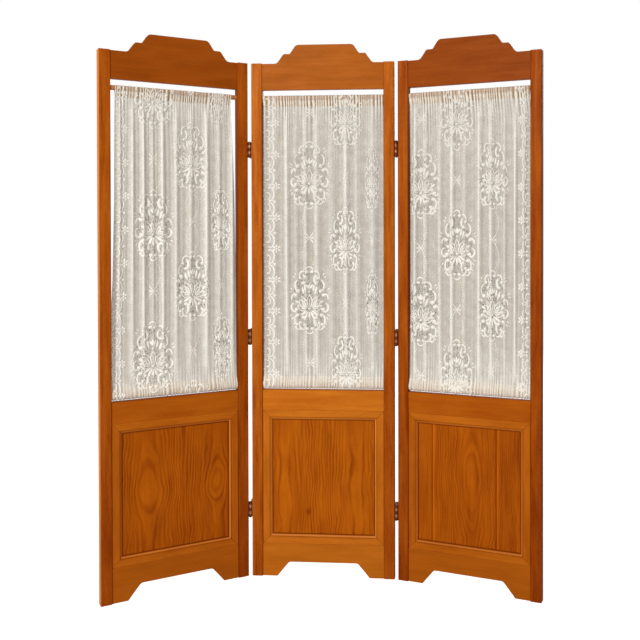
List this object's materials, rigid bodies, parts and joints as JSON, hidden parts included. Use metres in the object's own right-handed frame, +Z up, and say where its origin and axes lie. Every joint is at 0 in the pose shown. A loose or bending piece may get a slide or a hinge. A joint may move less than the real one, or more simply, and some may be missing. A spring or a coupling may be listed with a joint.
{
  "type": "folding screen",
  "caption": "Folding room screen: hinged wooden leaves with stepped crests, gathered lace curtains on dowels above framed infill boards, and cut-out feet; hinges fold either way",
  "frame": {"origin": "on the floor, under the middle of the standing screen's box", "axes": "+X to the viewer's right along the middle leaf, +Y away from the viewer, +Z up"},
  "size_m": [1.3462, 0.2954, 1.7395],
  "materials": {
    "stile_wood": "stained and varnished hardwood, satin",
    "rail_wood": "stained and varnished wood, satin",
    "board_wood": "stained and varnished wood, satin",
    "infill_wood": "figured veneer, varnished, satin",
    "dowel_wood": "turned dowel, plain",
    "lace": "patterned net lace, gathered",
    "hinge_brass": "dull brass plate"
  },
  "bodies": {
    "middle_leaf": {"middle_leaf_left_stile": "stile_wood", "middle_leaf_right_stile": "stile_wood", "middle_leaf_crest_rail": "rail_wood", "middle_leaf_mid_rail": "rail_wood", "middle_leaf_foot_rail": "rail_wood", "middle_leaf_top_board": "board_wood", "middle_leaf_bottom_board": "board_wood", "middle_leaf_left_board": "board_wood", "middle_leaf_right_board": "board_wood", "middle_leaf_infill": "infill_wood", "middle_leaf_curtain": "lace", "left_hinge_inner_plates": "hinge_brass", "left_hinge_inner_screws": "hinge_brass", "left_hinge_rear_pins": "hinge_brass", "right_hinge_inner_plates": "hinge_brass", "right_hinge_inner_screws": "hinge_brass", "right_hinge_rear_pins": "hinge_brass"},
    "left_links": {"left_hinge_link_plates": "hinge_brass"},
    "left_leaf": {"left_leaf_left_stile": "stile_wood", "left_leaf_right_stile": "stile_wood", "left_leaf_crest_rail": "rail_wood", "left_leaf_mid_rail": "rail_wood", "left_leaf_foot_rail": "rail_wood", "left_leaf_top_board": "board_wood", "left_leaf_bottom_board": "board_wood", "left_leaf_left_board": "board_wood", "left_leaf_right_board": "board_wood", "left_leaf_infill": "infill_wood", "left_leaf_curtain": "lace", "left_hinge_outer_plates": "hinge_brass", "left_hinge_outer_screws": "hinge_brass", "left_hinge_front_pins": "hinge_brass"},
    "right_links": {"right_hinge_link_plates": "hinge_brass"},
    "right_leaf": {"right_leaf_left_stile": "stile_wood", "right_leaf_right_stile": "stile_wood", "right_leaf_crest_rail": "rail_wood", "right_leaf_mid_rail": "rail_wood", "right_leaf_foot_rail": "rail_wood", "right_leaf_top_board": "board_wood", "right_leaf_bottom_board": "board_wood", "right_leaf_left_board": "board_wood", "right_leaf_right_board": "board_wood", "right_leaf_infill": "infill_wood", "right_leaf_curtain": "lace", "right_hinge_outer_plates": "hinge_brass", "right_hinge_outer_screws": "hinge_brass", "right_hinge_front_pins": "hinge_brass"},
    "left_top_rod": {"left_leaf_top_rod": "dowel_wood"},
    "left_bottom_rod": {"left_leaf_bottom_rod": "dowel_wood"},
    "middle_top_rod": {"middle_leaf_top_rod": "dowel_wood"},
    "middle_bottom_rod": {"middle_leaf_bottom_rod": "dowel_wood"},
    "right_top_rod": {"right_leaf_top_rod": "dowel_wood"},
    "right_bottom_rod": {"right_leaf_bottom_rod": "dowel_wood"}
  },
  "joints": [
    {"name": "left_rear_hinge", "type": "hinge", "parent": "middle_leaf", "child": "left_links", "pos_m": [-0.26592, 0.14291, 0.785], "axis": [0, 0, -1], "range_deg": [0, 180]},
    {"name": "left_front_hinge", "type": "hinge", "parent": "left_links", "child": "left_leaf", "pos_m": [-0.26592, 0.11591, 0.785], "axis": [0, 0, 1], "range_deg": [-34, 146]},
    {"name": "right_rear_hinge", "type": "hinge", "parent": "middle_leaf", "child": "right_links", "pos_m": [0.21408, 0.14291, 0.785], "axis": [0, 0, 1], "range_deg": [0, 180]},
    {"name": "right_front_hinge", "type": "hinge", "parent": "right_links", "child": "right_leaf", "pos_m": [0.21408, 0.11591, 0.785], "axis": [0, 0, -1], "range_deg": [-18, 162]},
    {"name": "left_top_rod_slide", "type": "slide", "parent": "left_leaf", "child": "left_top_rod", "axis": [-0.829, -0.5592, 0], "range_m": [0, 0.012]},
    {"name": "left_bottom_rod_slide", "type": "slide", "parent": "left_leaf", "child": "left_bottom_rod", "axis": [-0.829, -0.5592, 0], "range_m": [0, 0.012]},
    {"name": "middle_top_rod_slide", "type": "slide", "parent": "middle_leaf", "child": "middle_top_rod", "axis": [-1, 0, 0], "range_m": [0, 0.012]},
    {"name": "middle_bottom_rod_slide", "type": "slide", "parent": "middle_leaf", "child": "middle_bottom_rod", "axis": [-1, 0, 0], "range_m": [0, 0.012]},
    {"name": "right_top_rod_slide", "type": "slide", "parent": "right_leaf", "child": "right_top_rod", "axis": [-0.9511, 0.309, 0], "range_m": [0, 0.012]},
    {"name": "right_bottom_rod_slide", "type": "slide", "parent": "right_leaf", "child": "right_bottom_rod", "axis": [-0.9511, 0.309, 0], "range_m": [0, 0.012]}
  ]
}
